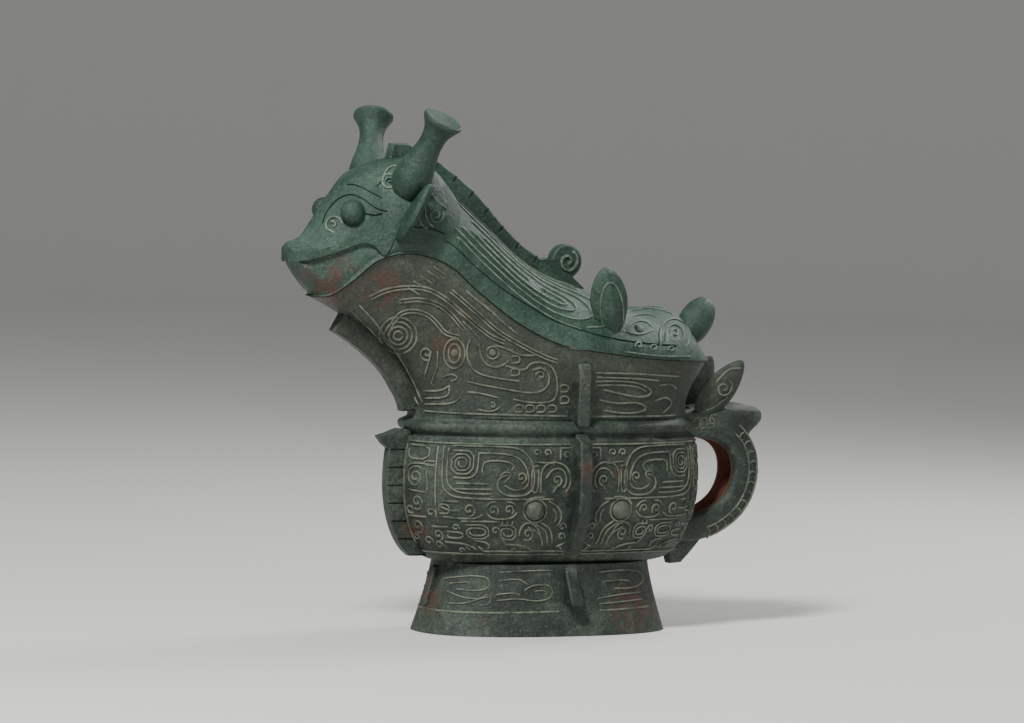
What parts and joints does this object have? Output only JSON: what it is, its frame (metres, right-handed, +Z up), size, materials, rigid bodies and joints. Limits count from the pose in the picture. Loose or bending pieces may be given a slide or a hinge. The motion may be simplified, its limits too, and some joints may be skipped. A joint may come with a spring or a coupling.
{
  "type": "gong wine vessel",
  "caption": "Cast bronze pouring vessel on a flared foot, with a spout, flanges and a beast handle, under a hollow lid shaped as a horned beast.",
  "frame": {"origin": "middle of the whole object's box on the surface that it stands on", "axes": "+Z up, spout and beast's head towards -X, handle towards +X"},
  "size_m": [0.2976, 0.1074, 0.2886],
  "materials": {
    "patinated_bronze": "aged bronze under a grey-green to blackish green patina, matt",
    "patinated_bronze_lid": "aged bronze under a deep green patina, slightly glossier than the body"
  },
  "bodies": {
    "root": {"vessel": "patinated_bronze", "lid": "patinated_bronze_lid"}
  },
  "joints": []
}
